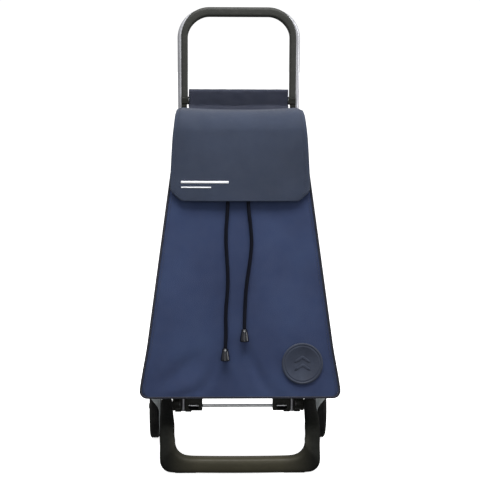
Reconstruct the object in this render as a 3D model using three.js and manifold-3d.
// Folding shopping trolley with two wheels, in millimetres, +Z up and its front facing -Y.
// An inverted-U tube carries the bag. The front stand swings up on two pins beside the wheels.
import * as THREE from "three";
import { mergeVertices } from "three/addons/utils/BufferGeometryUtils.js";
import Module from "manifold-3d";

const wasm = await Module();
wasm.setup();

// ---------------------------------------------------------------- driving dimensions

const GAP = 0.3; // clearance between pieces that touch
const HEIGHT = 960;

const WHEEL_RADIUS = 72; // the axle is this high
const WHEEL_INNER_X = 175.5;
const WHEEL_OUTER_X = 196.5;
const WHEEL_BACK_Y = WHEEL_RADIUS;

const TUBE_WIDTH = 12; // frame tube section: across the frame
const TUBE_DEPTH = 20; // and front to back
const TUBE_WALL = 1.5;
const TUBE_BOTTOM = { x: 122.5, z: 61 };
const TUBE_TOP = { x: 127.6, z: HEIGHT - 8.5 };
const TUBE_BEND = 58;

const GRIP_OUTER_X = 124.8;
const GRIP_INNER_X = 110.8;
const GRIP_BAR = 20.7; // thickness of the grip across the top
const GRIP_DEPTH = 26;
const GRIP_BOTTOM_Z = 769;

const CROSSBAR = { halfLength: 106.5, depth: 12, bottom: 748.5, top: 781.5 };
const CLAMP = { inner: 109, outer: 124.6, bottom: 750.5, top: 767.5, depth: 26 };
const TENON = { radius: 6, length: 6 }; // the crossbar's round ends, which the clamps hold
const CLAMP_SCREW = { x: 116, shank: 2, head: 4.2, length: 3.4 };

const AXLE_RADIUS = 3.5;
const PIVOT = { y: -50, z: 90, radius: 5 }; // the pins that the stand swings on
const PIN = { inner: 128.6, outer: 173.6 };
const WASHER = { inner: 141.3, outer: 145.6, radius: 11 };
const SPACER = { outer: 171.2, radius: 9 };
const KNUCKLE = { front: -18, back: 15, bottom: 61.5, top: 150, inner: 79.5, outer: 141 };
const KNUCKLE_RISER_X = 104; // the upright part starts here, outside the low shoe
const KNUCKLE_LUG_X = 129; // and the lug that holds the pivot pin starts here
const KNUCKLE_LEDGE_FRONT = -74;
const KNUCKLE_BOLT = { x: 122.6, z: 118, shank: 2.5, head: 5.5, length: 4.2 };

const GUARD = { inner: 171.6, outer: 174, outerRadius: 80, bandOuterX: 199, bandThickness: 2.5, hub: 13 };
const GUARD_ANGLES = { from: 68, bandTo: 160, plateTo: 218 }; // degrees from +Y, over the top to the front
const AXLE_END = WHEEL_OUTER_X + 1.5;
const AXLE_CAP = { inner: WHEEL_OUTER_X + 0.6, radius: 8, domeRadius: 5, rim: 1.6, dome: 3.4, height: 3.8 };
const RIM_RADIUS = 59;
const HUB_RADIUS = 15;
const BUSH_RADIUS = 7;

const BAG = { bottom: 158, top: 728, back: -22, frontBottom: -250, frontTop: -150, wall: 3 };
const BAG_HALF_WIDTH_BOTTOM = 206;
const BAG_HALF_WIDTH_TOP = 129;
const BAG_FLOOR = 4;
const SLEEVE_HALF_LENGTH = 108.5;
const LOOP = { x: 124.6, y: -4.4, bottom: 400, height: 25, width: 20, depth: 34.3, thickness: 1.8 };
const BOARD = { back: -30, bottom: 166.5, top: 170.5, front: -236, halfWidth: 190, corner: 14 };

const FLAP = { thickness: 3, standOff: 10, bottom: 558, shoulder: 706, top: 746, rear: -26, roll: -118 };
const CORD_RADIUS = 3.2;
const CORD_STAND_OFF = CORD_RADIUS + 0.8;
const CORD_TOP_Z = 690;
const OUTLET = { width: 12, height: 16, depth: 7.5, corner: 3, rise: 0.9 };
const BELL = { length: 26, topRadius: 5, bottomRadius: 8.5, drop: 3 * GAP };
const BADGE = { x: 128, z: 227, radius: 42.5, thickness: 3 };
const PANEL_GAP = 0.4; // between the front panel and what is sewn or fixed to it

const STAND_FRONT_Y = -265;
const STAND_INNER_X = 136;
const STAND_OUTER_X = 167;
const STAND_PIVOT_X = 170.9; // half the stand's width at its pivots
const STAND_BOSS = 14; // radius of its arms' round ends
const STAND_UNDERSIDE = 1; // the foot pads reach the floor, the moulding stays this far above it
const FOOT_PAD = { x: 112, y: -248.5, length: 46, width: 14, recess: 1.8, corner: 4 };

// The part's origin is on the floor, under the middle of its outside box.
const AXLE_Y = -(STAND_FRONT_Y + WHEEL_BACK_Y) / 2;

// ---------------------------------------------------------------- finishes

function finish(color, roughness, metalness = 0) {
  return new THREE.MeshStandardMaterial({ color, roughness, metalness });
}

const brightTube = finish(0xc8cacc, 0.25, 1);
const zincSteel = finish(0xa9acae, 0.4, 1);
const blackPlastic = finish(0x22231f, 0.55);
const gripPlastic = finish(0x3a3b39, 0.6);
const greyPlastic = finish(0x6d6f6c, 0.5);
const tyreRubber = finish(0x141415, 0.85);
const navyFabric = finish(0x2e3a5a, 0.85);
const flapFabric = finish(0x3a435a, 0.8);
const blackWebbing = finish(0x191a1e, 0.9);
const boardPlastic = finish(0x1d1e22, 0.7);
const badgeRubber = finish(0x303a4c, 0.6);
const cordBraid = finish(0x14161c, 0.9);

// ---------------------------------------------------------------- geometry tools

function solidFrom(geometry) {
  const bare = geometry.clone();
  bare.deleteAttribute("normal");
  bare.deleteAttribute("uv");
  const merged = mergeVertices(bare, 1e-3);
  return new wasm.Manifold(
    new wasm.Mesh({
      numProp: 3,
      vertProperties: new Float32Array(merged.attributes.position.array),
      triVerts: new Uint32Array(merged.index.array),
    }),
  );
}

function geometryFrom(solid) {
  const mesh = solid.getMesh();
  const geometry = new THREE.BufferGeometry();
  geometry.setAttribute("position", new THREE.BufferAttribute(mesh.vertProperties, 3));
  geometry.setIndex(new THREE.BufferAttribute(mesh.triVerts, 1));
  geometry.computeVertexNormals();
  return geometry;
}

function cut(base, ...tools) {
  return geometryFrom(tools.reduce((left, tool) => left.subtract(solidFrom(tool)), solidFrom(base)));
}

function join(first, ...others) {
  return geometryFrom(others.reduce((sum, other) => sum.add(solidFrom(other)), solidFrom(first)));
}

function common(first, ...others) {
  return geometryFrom(others.reduce((kept, other) => kept.intersect(solidFrom(other)), solidFrom(first)));
}

function outline(points) {
  return new THREE.Shape(points.map(([across, up]) => new THREE.Vector2(across, up)));
}

// A rectangle with round corners, centred on a point.
function roundedRectangle(width, height, radius, centreX = 0, centreY = 0) {
  const right = centreX + width / 2 - radius;
  const left = centreX - width / 2 + radius;
  const top = centreY + height / 2 - radius;
  const bottom = centreY - height / 2 + radius;
  return new THREE.Shape()
    .absarc(right, top, radius, 0, Math.PI / 2)
    .absarc(left, top, radius, Math.PI / 2, Math.PI)
    .absarc(left, bottom, radius, Math.PI, 1.5 * Math.PI)
    .absarc(right, bottom, radius, 1.5 * Math.PI, 2 * Math.PI)
    .closePath();
}

function circle(radius, centreX = 0, centreY = 0) {
  return new THREE.Shape().absarc(centreX, centreY, radius, 0, 2 * Math.PI).closePath();
}

function extrude(shape, depth, options = {}) {
  const bevel = options.bevel ?? 0;
  return new THREE.ExtrudeGeometry(shape, {
    depth: depth - 2 * bevel,
    bevelEnabled: bevel > 0,
    bevelThickness: bevel,
    bevelSize: bevel,
    bevelOffset: -bevel,
    bevelSegments: 1,
    curveSegments: options.curveSegments ?? 2,
  }).translate(0, 0, bevel);
}

const YZ_TO_X = new THREE.Matrix4().makeBasis(
  new THREE.Vector3(0, 1, 0),
  new THREE.Vector3(0, 0, 1),
  new THREE.Vector3(1, 0, 0),
);

// A shape drawn in Y and Z, from one X to another.
function acrossX(shape, from, to, options) {
  return extrude(shape, to - from, options).applyMatrix4(YZ_TO_X).translate(from, 0, 0);
}

// A shape drawn in X and Z, from one Y to another.
function alongY(shape, from, to, options) {
  return extrude(shape, to - from, options).rotateX(Math.PI / 2).translate(0, to, 0);
}

// A shape drawn in X and Y, from one Z to another.
function upZ(shape, from, to, options) {
  return extrude(shape, to - from, options).translate(0, 0, from);
}

// A turned piece about an axis along X: each profile point is [radius, x].
function turnedX(profile, segments = 16) {
  const points = profile.map(([radius, x]) => new THREE.Vector2(radius, x));
  return new THREE.LatheGeometry(points, segments).rotateZ(-Math.PI / 2);
}

function rodX(radius, from, to, segments = 16) {
  return turnedX([[0, from], [radius, from], [radius, to], [0, to]], segments);
}

function mirrored(geometry) {
  const copy = geometry.index ? geometry.toNonIndexed() : geometry.clone();
  copy.scale(-1, 1, 1);
  const position = copy.getAttribute("position");
  for (let i = 0; i < position.count; i += 3) {
    const a = new THREE.Vector3().fromBufferAttribute(position, i);
    const b = new THREE.Vector3().fromBufferAttribute(position, i + 1);
    position.setXYZ(i, b.x, b.y, b.z);
    position.setXYZ(i + 1, a.x, a.y, a.z);
  }
  copy.computeVertexNormals();
  return copy;
}

// A path through chosen stations, so a straight takes one step and a bend takes several.
class StationPath extends THREE.Curve {
  constructor(stations) {
    super();
    this.stations = stations;
    this.steps = stations.length - 1;
  }

  getPoint(t, target = new THREE.Vector3()) {
    const place = Math.min(Math.max(t, 0), 1) * this.steps;
    const index = Math.min(Math.floor(place + 1e-9), this.steps - 1);
    return target.lerpVectors(this.stations[index], this.stations[index + 1], place - index);
  }

  getUtoTmapping(u) {
    return u;
  }
}

// The stations of a line through corners, with each inner corner rounded to a radius.
function roundedStations(corners, radius, bendSteps) {
  const stations = [corners[0].clone()];
  for (let i = 1; i < corners.length - 1; i += 1) {
    const corner = corners[i];
    const back = corners[i - 1].clone().sub(corner).normalize();
    const ahead = corners[i + 1].clone().sub(corner).normalize();
    const half = back.angleTo(ahead) / 2;
    const middle = back.clone().add(ahead).normalize();
    const centre = corner.clone().addScaledVector(middle, radius / Math.sin(half));
    const first = corner.clone().addScaledVector(back, radius / Math.tan(half)).sub(centre);
    const last = corner.clone().addScaledVector(ahead, radius / Math.tan(half)).sub(centre);
    const sweep = first.angleTo(last);
    for (let step = 0; step <= bendSteps; step += 1) {
      const share = step / bendSteps;
      const point = first.clone().multiplyScalar(Math.sin((1 - share) * sweep));
      point.addScaledVector(last, Math.sin(share * sweep)).divideScalar(Math.sin(sweep));
      stations.push(point.add(centre));
    }
  }
  stations.push(corners[corners.length - 1].clone());
  return stations;
}

function sweep(shape, stations, curveSegments = 2) {
  const path = new StationPath(stations);
  return new THREE.ExtrudeGeometry(shape, { steps: path.steps, extrudePath: path, curveSegments });
}

// ---------------------------------------------------------------- the assembly

const trolley = new THREE.Group();
trolley.position.y = AXLE_Y;

function add(name, geometry, material) {
  const mesh = new THREE.Mesh(geometry, material);
  mesh.name = name;
  trolley.add(mesh);
}

// Adds a right-hand piece and its mirror image on the left.
function addPair(name, rightGeometry, material) {
  add(`${name}_right`, rightGeometry, material);
  add(`${name}_left`, mirrored(rightGeometry), material);
}

// ---------------------------------------------------------------- frame tube and handle

const tubeCorners = [
  new THREE.Vector3(-TUBE_BOTTOM.x, 0, TUBE_BOTTOM.z),
  new THREE.Vector3(-TUBE_TOP.x, 0, TUBE_TOP.z),
  new THREE.Vector3(TUBE_TOP.x, 0, TUBE_TOP.z),
  new THREE.Vector3(TUBE_BOTTOM.x, 0, TUBE_BOTTOM.z),
];
const tubeStations = roundedStations(tubeCorners, TUBE_BEND, 7);

// The tube's flat-oval section: its width lies across the frame.
function tubeSection(growth) {
  const width = TUBE_WIDTH + 2 * growth;
  return roundedRectangle(TUBE_DEPTH + 2 * growth, width, width / 2 - 0.01);
}

// The tube, with the holes that the axle passes through.
function frameTube() {
  const section = tubeSection(0);
  section.holes.push(tubeSection(-TUBE_WALL));
  const axlePath = rodX(AXLE_RADIUS + GAP, -TUBE_TOP.x - 12, TUBE_TOP.x + 12);
  return cut(sweep(section, tubeStations), axlePath.translate(0, 0, WHEEL_RADIUS));
}

// The space that the tube needs in a piece fitted round it.
function tubeSpace() {
  return sweep(tubeSection(GAP), tubeStations);
}

// An arch that opens downwards, with round upper corners.
function arch(halfWidth, top, bottom, radius) {
  return new THREE.Shape()
    .moveTo(halfWidth, bottom)
    .lineTo(halfWidth, top - radius)
    .absarc(halfWidth - radius, top - radius, radius, 0, Math.PI / 2)
    .lineTo(radius - halfWidth, top)
    .absarc(radius - halfWidth, top - radius, radius, Math.PI / 2, Math.PI)
    .lineTo(-halfWidth, bottom)
    .closePath();
}

function handleGrip() {
  const innerTop = HEIGHT - GRIP_BAR;
  const bottom = GRIP_BOTTOM_Z;
  const outer = arch(GRIP_OUTER_X, HEIGHT, bottom, 62);
  const plate = alongY(outer, -GRIP_DEPTH / 2, GRIP_DEPTH / 2, { bevel: 3, curveSegments: 4 });
  const window = alongY(arch(GRIP_INNER_X, innerTop, bottom - 10, 49), -20, 20, { curveSegments: 4 });
  return cut(plate, window, tubeSpace());
}

add("frame_tube", frameTube(), brightTube);
add("handle_grip", handleGrip(), gripPlastic);

// ---------------------------------------------------------------- crossbar and its clamps

const crossbarMiddleZ = (CROSSBAR.bottom + CROSSBAR.top) / 2;
const clampMiddleZ = (CLAMP.bottom + CLAMP.top) / 2;

function crossbar() {
  const height = CROSSBAR.top - CROSSBAR.bottom;
  const section = roundedRectangle(CROSSBAR.depth, height, 5.5, 0, crossbarMiddleZ);
  const bar = acrossX(section, -CROSSBAR.halfLength, CROSSBAR.halfLength);
  const reach = CLAMP.inner + TENON.length;
  const tenons = rodX(TENON.radius, -reach, reach).translate(0, 0, clampMiddleZ);
  return join(bar, tenons);
}

// The space for a screw's shank, entering from the back.
function boreFromBack(radius, x, z) {
  return alongY(circle(radius, x, z), 9, 20, { curveSegments: 6 });
}

function clampRight() {
  const height = CLAMP.top - CLAMP.bottom;
  const block = acrossX(
    roundedRectangle(CLAMP.depth, height, 3, 0, clampMiddleZ),
    CLAMP.inner,
    CLAMP.outer,
    { bevel: 1, curveSegments: 1 },
  );
  const socketEnd = CLAMP.inner + TENON.length + GAP;
  const socket = rodX(TENON.radius + GAP, CLAMP.inner - 1, socketEnd).translate(0, 0, clampMiddleZ);
  const hole = boreFromBack(CLAMP_SCREW.shank + GAP, CLAMP_SCREW.x, clampMiddleZ);
  return cut(block, socket, hole, tubeSpace());
}

// A domed screw that enters from the back: the head stands on the face at faceY.
function screwFromBack({ x, shank, head, length }, z, faceY) {
  const profile = [
    [0, faceY - length],
    [shank, faceY - length],
    [shank, faceY + GAP],
    [head, faceY + GAP],
    [head, faceY + 1.3],
    [head * 0.7, faceY + 2.4],
    [0, faceY + 2.8],
  ].map(([radius, y]) => new THREE.Vector2(radius, y));
  return new THREE.LatheGeometry(profile, 12).translate(x, 0, z);
}

add("crossbar", crossbar(), zincSteel);
addPair("crossbar_clamp", clampRight(), blackPlastic);
addPair("clamp_screw", screwFromBack(CLAMP_SCREW, clampMiddleZ, CLAMP.depth / 2), zincSteel);

// ---------------------------------------------------------------- knuckles, axle and pivot pins

// The moulding at the foot of a tube: it holds the axle and the pivot pin, and the bag rests on it.
function knuckleRight() {
  const { inner, outer, front, back, bottom, top } = KNUCKLE;
  const riser = acrossX(
    outline([
      [front, bottom + 3],
      [front + 3, bottom],
      [back - 3, bottom],
      [back, bottom + 3],
      [back, top - 22],
      [back - 8, top],
      [KNUCKLE_LEDGE_FRONT + 3, top],
      [KNUCKLE_LEDGE_FRONT, top - 3],
      [KNUCKLE_LEDGE_FRONT + 3, top - 7],
      [front - 12, top - 8],
      [front, top - 20],
    ]),
    KNUCKLE_RISER_X,
    outer,
  );
  const shoe = acrossX(
    outline([
      [front + 2, bottom + 6],
      [front + 6, bottom + 2],
      [back - 6, bottom + 2],
      [back - 2, bottom + 6],
      [back - 2, 100],
      [front + 2, 104],
    ]),
    inner,
    KNUCKLE_RISER_X + 1,
  );
  const lug = acrossX(
    outline([
      [front + 1, bottom + 8],
      [PIVOT.y - 4, PIVOT.z - 12],
      [PIVOT.y - 11, PIVOT.z - 7],
      [PIVOT.y - 13, PIVOT.z],
      [PIVOT.y - 11, PIVOT.z + 7],
      [PIVOT.y - 4, PIVOT.z + 12],
      [front + 1, 112],
    ]),
    KNUCKLE_LUG_X,
    outer,
  );
  const corners = { curveSegments: 1 };
  const window = alongY(roundedRectangle(23, 13, 3, 99.5, 73.5), front - 1, 8, corners);
  const tubeSlot = alongY(roundedRectangle(9.5, 60, 2, TUBE_BOTTOM.x, 76), front - 1, -6, corners);
  const axleBore = rodX(AXLE_RADIUS + GAP, inner - 1, outer + 1).translate(0, 0, WHEEL_RADIUS);
  const pinBore = rodX(PIVOT.radius + GAP, KNUCKLE_LUG_X - 1, outer + 1).translate(0, PIVOT.y, PIVOT.z);
  const boltBore = boreFromBack(KNUCKLE_BOLT.shank + GAP, KNUCKLE_BOLT.x, KNUCKLE_BOLT.z);
  return cut(join(riser, shoe, lug), window, tubeSlot, axleBore, pinBore, boltBore, tubeSpace());
}

// A round collar on the axle, or on a pin.
function collar(innerRadius, outerRadius, from, to, y, z, segments = 16) {
  const profile = [
    [innerRadius, from],
    [outerRadius, from],
    [outerRadius, to],
    [innerRadius, to],
    [innerRadius, from],
  ];
  return turnedX(profile, segments).translate(0, y, z);
}

addPair("knuckle", knuckleRight(), blackPlastic);
addPair("knuckle_bolt", screwFromBack(KNUCKLE_BOLT, KNUCKLE_BOLT.z, KNUCKLE.back), zincSteel);
add("axle", rodX(AXLE_RADIUS, -AXLE_END, AXLE_END).translate(0, 0, WHEEL_RADIUS), zincSteel);
addPair(
  "axle_spacer",
  collar(AXLE_RADIUS + GAP, SPACER.radius, KNUCKLE.outer + GAP, SPACER.outer, 0, WHEEL_RADIUS),
  zincSteel,
);
addPair("pivot_pin", rodX(PIVOT.radius, PIN.inner, PIN.outer).translate(0, PIVOT.y, PIVOT.z), zincSteel);
addPair(
  "pivot_washer",
  collar(PIVOT.radius + GAP, WASHER.radius, WASHER.inner, WASHER.outer, PIVOT.y, PIVOT.z),
  zincSteel,
);

// A domed cap pushed over each end of the axle.
function axleCapRight() {
  const { inner, radius, domeRadius, rim, dome, height } = AXLE_CAP;
  const bore = AXLE_RADIUS + GAP;
  return turnedX([
    [bore, inner],
    [radius, inner],
    [radius, inner + rim],
    [domeRadius, inner + dome],
    [0, inner + height],
    [0, AXLE_END + GAP],
    [bore, AXLE_END + GAP],
    [bore, inner],
  ]).translate(0, 0, WHEEL_RADIUS);
}

addPair("axle_cap", axleCapRight(), blackPlastic);

// A guard: a plate beside the wheel, and a band over the wheel's front and top.
function wheelGuardRight() {
  const from = THREE.MathUtils.degToRad(GUARD_ANGLES.from);
  const bandTo = THREE.MathUtils.degToRad(GUARD_ANGLES.bandTo);
  const plateTo = THREE.MathUtils.degToRad(GUARD_ANGLES.plateTo);
  const { outerRadius, hub } = GUARD;
  const plate = new THREE.Shape()
    .absarc(0, 0, outerRadius, from, plateTo)
    .lineTo(hub * Math.cos(plateTo), hub * Math.sin(plateTo))
    .absarc(0, 0, hub, plateTo, from + 2 * Math.PI)
    .closePath();
  const innerRadius = outerRadius - GUARD.bandThickness;
  const band = new THREE.Shape()
    .absarc(0, 0, outerRadius, from, bandTo)
    .absarc(0, 0, innerRadius, bandTo, from, true)
    .closePath();
  const options = { curveSegments: 9 };
  const whole = join(
    acrossX(plate, GUARD.inner, GUARD.outer, options),
    acrossX(band, GUARD.inner, GUARD.bandOuterX, options),
  ).translate(0, 0, WHEEL_RADIUS);
  const [near, far] = [GUARD.inner - 1, GUARD.outer + 1];
  const axleHole = rodX(AXLE_RADIUS + GAP, near, far).translate(0, 0, WHEEL_RADIUS);
  const pinHole = rodX(PIVOT.radius + GAP, near, far).translate(0, PIVOT.y, PIVOT.z);
  return cut(whole, axleHole, pinHole);
}

addPair("wheel_guard", wheelGuardRight(), greyPlastic);

// ---------------------------------------------------------------- wheels

function tyre() {
  const inner = WHEEL_INNER_X;
  const outer = WHEEL_OUTER_X;
  const profile = [
    [RIM_RADIUS, inner + 1.5],
    [WHEEL_RADIUS - 8, inner],
    [WHEEL_RADIUS - 3, inner + 1],
    [WHEEL_RADIUS, inner + 5],
    [WHEEL_RADIUS, outer - 5],
    [WHEEL_RADIUS - 3, outer - 1],
    [WHEEL_RADIUS - 8, outer],
    [RIM_RADIUS, outer - 1.5],
    [RIM_RADIUS, inner + 1.5],
  ];
  return turnedX(profile, 40);
}

// The rim: an outer ring, a hub and a web with five holes between the spokes.
function rim() {
  const inner = WHEEL_INNER_X;
  const outer = WHEEL_OUTER_X;
  const bore = BUSH_RADIUS + GAP;
  const outside = RIM_RADIUS - GAP;
  const profile = [
    [bore, inner + 1],
    [HUB_RADIUS, inner + 1],
    [HUB_RADIUS, inner + 7],
    [outside - 6, inner + 7],
    [outside - 4, inner + 2],
    [outside, inner + 2],
    [outside, outer - 2],
    [outside - 4, outer - 2],
    [outside - 6, outer - 6],
    [HUB_RADIUS, outer - 6],
    [HUB_RADIUS, outer - 1.5],
    [bore, outer - 1.5],
    [bore, inner + 1],
  ];
  const holes = [0, 1, 2, 3, 4].map((index) => {
    const slot = roundedRectangle(22, 25, 8, 0, 34.5);
    return acrossX(slot, inner, outer, { curveSegments: 1 }).rotateX((index * 2 * Math.PI) / 5);
  });
  return cut(turnedX(profile, 30), ...holes);
}

function bush() {
  return collar(AXLE_RADIUS + GAP, BUSH_RADIUS, WHEEL_INNER_X + 0.5, WHEEL_OUTER_X - 0.5, 0, 0);
}

for (const [name, geometry, material] of [
  ["tyre", tyre(), tyreRubber],
  ["wheel_rim", rim(), blackPlastic],
  ["wheel_bush", bush(), greyPlastic],
]) {
  addPair(name, geometry.translate(0, 0, WHEEL_RADIUS), material);
}

// ---------------------------------------------------------------- folding stand

// The side view of the stand, and its two other outlines, meet in one moulding.
function stand() {
  const side = new THREE.Shape()
    .moveTo(PIVOT.y, PIVOT.z + STAND_BOSS)
    .lineTo(-196, 103)
    .bezierCurveTo(-228, 103, -247, 90, -252, 62)
    .lineTo(STAND_FRONT_Y + 1, 22)
    .lineTo(STAND_FRONT_Y, 8)
    .quadraticCurveTo(STAND_FRONT_Y, STAND_UNDERSIDE, STAND_FRONT_Y + 7, STAND_UNDERSIDE)
    .lineTo(-238, STAND_UNDERSIDE)
    .quadraticCurveTo(-232, STAND_UNDERSIDE, -232, 7)
    .lineTo(-229, 56)
    .bezierCurveTo(-227, 70, -216, 79, -196, 79)
    .lineTo(PIVOT.y, PIVOT.z - STAND_BOSS)
    .absarc(PIVOT.y, PIVOT.z, STAND_BOSS, 1.5 * Math.PI, 2.5 * Math.PI);
  const block = acrossX(side, -STAND_PIVOT_X - 1, STAND_PIVOT_X + 1, { curveSegments: 5 });
  const plan = outline([
    [STAND_PIVOT_X, -20],
    [STAND_PIVOT_X, -90],
    [STAND_OUTER_X + 1, -224],
    [STAND_OUTER_X, -280],
    [-STAND_OUTER_X, -280],
    [-STAND_OUTER_X - 1, -224],
    [-STAND_PIVOT_X, -90],
    [-STAND_PIVOT_X, -20],
  ]);
  const front = new THREE.Shape()
    .moveTo(172, 120)
    .lineTo(STAND_OUTER_X + 1, 60)
    .lineTo(162.6, 20)
    .quadraticCurveTo(159, 0, 140, 0)
    .lineTo(-140, 0)
    .quadraticCurveTo(-159, 0, -162.6, 20)
    .lineTo(-STAND_OUTER_X - 1, 60)
    .lineTo(-172, 120)
    .closePath();
  const gapPlan = outline([
    [145.9, 0],
    [145.9, -70],
    [STAND_INNER_X, -234],
    [-STAND_INNER_X, -234],
    [-145.9, -70],
    [-145.9, 0],
  ]);
  const gapFront = new THREE.Shape()
    .moveTo(STAND_INNER_X, 130)
    .lineTo(134, 62)
    .bezierCurveTo(132, 42, 118, 33, 96, 33)
    .lineTo(-96, 33)
    .bezierCurveTo(-118, 33, -132, 42, -134, 62)
    .lineTo(-STAND_INNER_X, 130)
    .closePath();
  const options = { curveSegments: 5 };
  const pins = rodX(PIVOT.radius + GAP, -180, 180).translate(0, PIVOT.y, PIVOT.z);
  const whole = common(block, upZ(plan, -1, 130), alongY(front, -290, 10, options));
  return cut(whole, upZ(gapPlan, -1, 130), alongY(gapFront, -290, -200, options), pins);
}

// A pad's outline, or its recess when it is grown by a gap.
function footPad(side, growth, bottom, top) {
  const { length, width, corner, x, y } = FOOT_PAD;
  const shape = roundedRectangle(length + 2 * growth, width + 2 * growth, corner, side * x, y);
  return upZ(shape, bottom, top);
}

function standWithPadRecesses() {
  const recessTop = STAND_UNDERSIDE + FOOT_PAD.recess;
  return cut(stand(), footPad(1, GAP, -1, recessTop), footPad(-1, GAP, -1, recessTop));
}

add("stand", standWithPadRecesses(), blackPlastic);
addPair("foot_pad", footPad(1, 0, 0, STAND_UNDERSIDE + FOOT_PAD.recess - GAP), tyreRubber);

// ---------------------------------------------------------------- bag

function bagShareUp(z) {
  return (z - BAG.bottom) / (BAG.top - BAG.bottom);
}

function bagFrontY(z) {
  return THREE.MathUtils.lerp(BAG.frontBottom, BAG.frontTop, bagShareUp(z));
}

function bagHalfWidth(z) {
  return THREE.MathUtils.lerp(BAG_HALF_WIDTH_BOTTOM, BAG_HALF_WIDTH_TOP, bagShareUp(z));
}

// The bag's body between two heights, drawn in by an inset on every side.
function bagBody(from, to, inset, radius) {
  const unit = roundedRectangle(2, 2, radius / 100);
  const body = upZ(unit, from, to, { curveSegments: 2 });
  const position = body.getAttribute("position");
  for (let i = 0; i < position.count; i += 1) {
    const z = position.getZ(i);
    const back = BAG.back - inset;
    const front = bagFrontY(z) + inset;
    const across = (bagHalfWidth(z) - inset) * position.getX(i);
    position.setXYZ(i, across, THREE.MathUtils.lerp(front, back, (position.getY(i) + 1) / 2), z);
  }
  return body;
}

function bagShell() {
  const outside = bagBody(BAG.bottom, BAG.top, 0, 10);
  const inside = bagBody(BAG.bottom + BAG_FLOOR, BAG.top + 20, BAG.wall, 9);
  return cut(outside, inside);
}

// The sleeve round the crossbar, and the strip from it that carries the bag's back panel.
function bagSleeve() {
  const height = CROSSBAR.top - CROSSBAR.bottom;
  const around = roundedRectangle(CROSSBAR.depth + 4.6, height + 4.6, 8, 0, crossbarMiddleZ);
  const space = roundedRectangle(CROSSBAR.depth + 1, height + 1, 6, 0, crossbarMiddleZ);
  const strip = outline([
    [-6.5, 746.5],
    [-6.5, 750],
    [-9, 752],
    [-21.4, 733],
    [-21.4, 690],
    [-18.4, 690],
    [-18.4, 732],
  ]);
  const end = SLEEVE_HALF_LENGTH;
  return cut(
    join(acrossX(around, -end, end), acrossX(strip, -end, end)),
    acrossX(space, -end - 1, end + 1),
  );
}

// A webbing loop that holds the bag's back to a tube.
function tubeLoopRight() {
  const { x, y, bottom, height, width, depth, thickness } = LOOP;
  const outside = roundedRectangle(width, depth, 6, x, y);
  outside.holes.push(roundedRectangle(width - 2 * thickness, depth - 2 * thickness, 5, x, y));
  return upZ(outside, bottom, bottom + height, { curveSegments: 1 });
}

add("bag_shell", bagShell(), navyFabric);
add("bag_sleeve", bagSleeve(), navyFabric);
addPair("tube_loop", tubeLoopRight(), blackWebbing);

// ---------------------------------------------------------------- base board and badge

function baseBoard() {
  const width = 2 * BOARD.halfWidth;
  const depth = BOARD.back - BOARD.front;
  const shape = roundedRectangle(width, depth, BOARD.corner, 0, (BOARD.back + BOARD.front) / 2);
  return upZ(shape, BOARD.bottom, BOARD.top, { curveSegments: 4 });
}

add("base_board", baseBoard(), boardPlastic);

// How far the front panel leans: its foot stands further forward than its top.
const panelLean = Math.atan2(BAG.frontTop - BAG.frontBottom, BAG.top - BAG.bottom);

// Lays a piece made in front of the plane Y = 0 on the front panel, at x and z.
function onFrontPanel(geometry, x, z, standOff) {
  return geometry.rotateX(-panelLean).translate(x, bagFrontY(z) - standOff, z);
}

function badge() {
  const disc = alongY(circle(BADGE.radius), -BADGE.thickness, 0, {
    bevel: 1,
    curveSegments: 16,
  });
  return onFrontPanel(disc, BADGE.x, BADGE.z, PANEL_GAP);
}

add("bag_badge", badge(), badgeRubber);

// ---------------------------------------------------------------- flap

// The flap runs forward from the bag's rear edge, rolls over and hangs down the front.
function flapProfile(offset) {
  const front = (z) => bagFrontY(z) - FLAP.standOff - offset;
  const top = FLAP.top - FLAP.thickness + offset;
  return { front, top };
}

function flap() {
  const outer = flapProfile(FLAP.thickness);
  const inner = flapProfile(0);
  const { bottom, shoulder, rear, roll } = FLAP;
  const shape = new THREE.Shape()
    .moveTo(rear, outer.top)
    .lineTo(roll, outer.top)
    .quadraticCurveTo(outer.front(outer.top) + 4, outer.top, outer.front(shoulder), shoulder)
    .lineTo(outer.front(bottom), bottom)
    .lineTo(inner.front(bottom), bottom)
    .lineTo(inner.front(shoulder), shoulder)
    .quadraticCurveTo(inner.front(inner.top) + 4, inner.top, roll, inner.top)
    .lineTo(rear, inner.top)
    .closePath();
  const sheet = acrossX(shape, -146, 146, { curveSegments: 8 });
  const view = outline([
    [134.5, 760],
    [134.5, 744],
    [140, 690],
    [144.5, 610],
    [144.5, 578],
    [137, 565],
    [121, 557],
    [-121, 557],
    [-137, 565],
    [-144.5, 578],
    [-144.5, 610],
    [-140, 690],
    [-134.5, 744],
    [-134.5, 760],
  ]);
  return common(sheet, alongY(view, -260, 0));
}

add("flap", flap(), flapFabric);

// ---------------------------------------------------------------- drawstring tails

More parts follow.
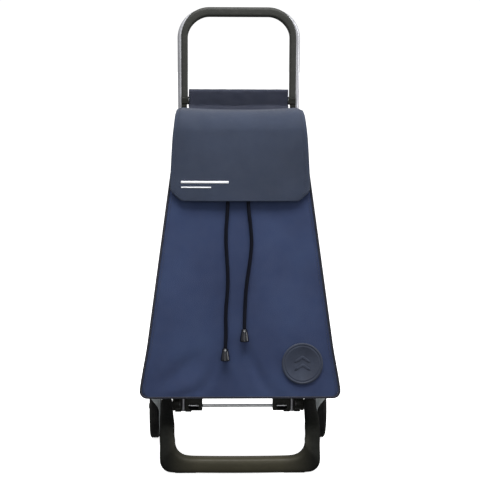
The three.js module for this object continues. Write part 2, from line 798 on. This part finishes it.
// Each tail's places as [x, z], from its outlet down to its bell. A third value is how much
// further it stands off the panel, where the bell's shoulder holds it away.
const TAILS = {
  left: [
    [-23, CORD_TOP_Z], [-23, 676], [-23.2, 650], [-23.6, 620], [-23.8, 590], [-24.4, 560], [-26, 530],
    [-27.8, 500], [-28.2, 472], [-27.4, 446], [-26, 420], [-25.6, 396], [-26.6, 372], [-28.4, 346],
    [-29.2, 320], [-29, 296, 0.8], [-28.6, 276, 3.4], [-29, 259.8, 5.6],
  ],
  right: [
    [20, CORD_TOP_Z], [20, 676], [19.6, 650], [18.8, 620], [18, 590], [18.2, 560], [20, 530],
    [21.6, 500], [21.8, 472], [20.6, 446], [18.6, 420], [17, 396], [15.8, 372], [14.4, 346],
    [13, 328, 1.2], [12, 312, 3.6], [11.6, 298.3, 5.6],
  ],
};

function tailPoint([x, z, further = 0]) {
  return new THREE.Vector3(x, bagFrontY(z) - CORD_STAND_OFF - further, z);
}

function tail(places) {
  const points = places.map(tailPoint);
  const section = new THREE.Shape().absarc(0, 0, CORD_RADIUS, 0, 2 * Math.PI);
  return sweep(section, points, 4);
}

// The outlet that a tail comes out of: a small moulded block on the front panel.
function cordOutlet([x, z]) {
  const { width, height, depth, corner, rise } = OUTLET;
  const block = alongY(roundedRectangle(width, height, corner, 0, height / 2), -depth, 0, {
    bevel: 1,
    curveSegments: 1,
  });
  return onFrontPanel(block, x, z + rise, PANEL_GAP);
}

function bell([x, z, further]) {
  const { length, topRadius, bottomRadius, drop } = BELL;
  const profile = [
    [0, 0],
    [topRadius, 0],
    [topRadius + 1, -4],
    [bottomRadius - 1, -length * 0.6],
    [bottomRadius, -length + 2],
    [bottomRadius - 1.5, -length],
    [0, -length],
  ].map(([radius, up]) => new THREE.Vector2(radius, up));
  const turned = new THREE.LatheGeometry(profile.reverse(), 16).rotateX(Math.PI / 2);
  return onFrontPanel(turned, x, z - drop, CORD_STAND_OFF + further);
}

for (const side of ["left", "right"]) {
  const places = TAILS[side];
  add(`cord_outlet_${side}`, cordOutlet(places[0]), blackPlastic);
  add(`cord_tail_${side}`, tail(places), cordBraid);
  add(`cord_bell_${side}`, bell(places[places.length - 1]), blackPlastic);
}

export default trolley;
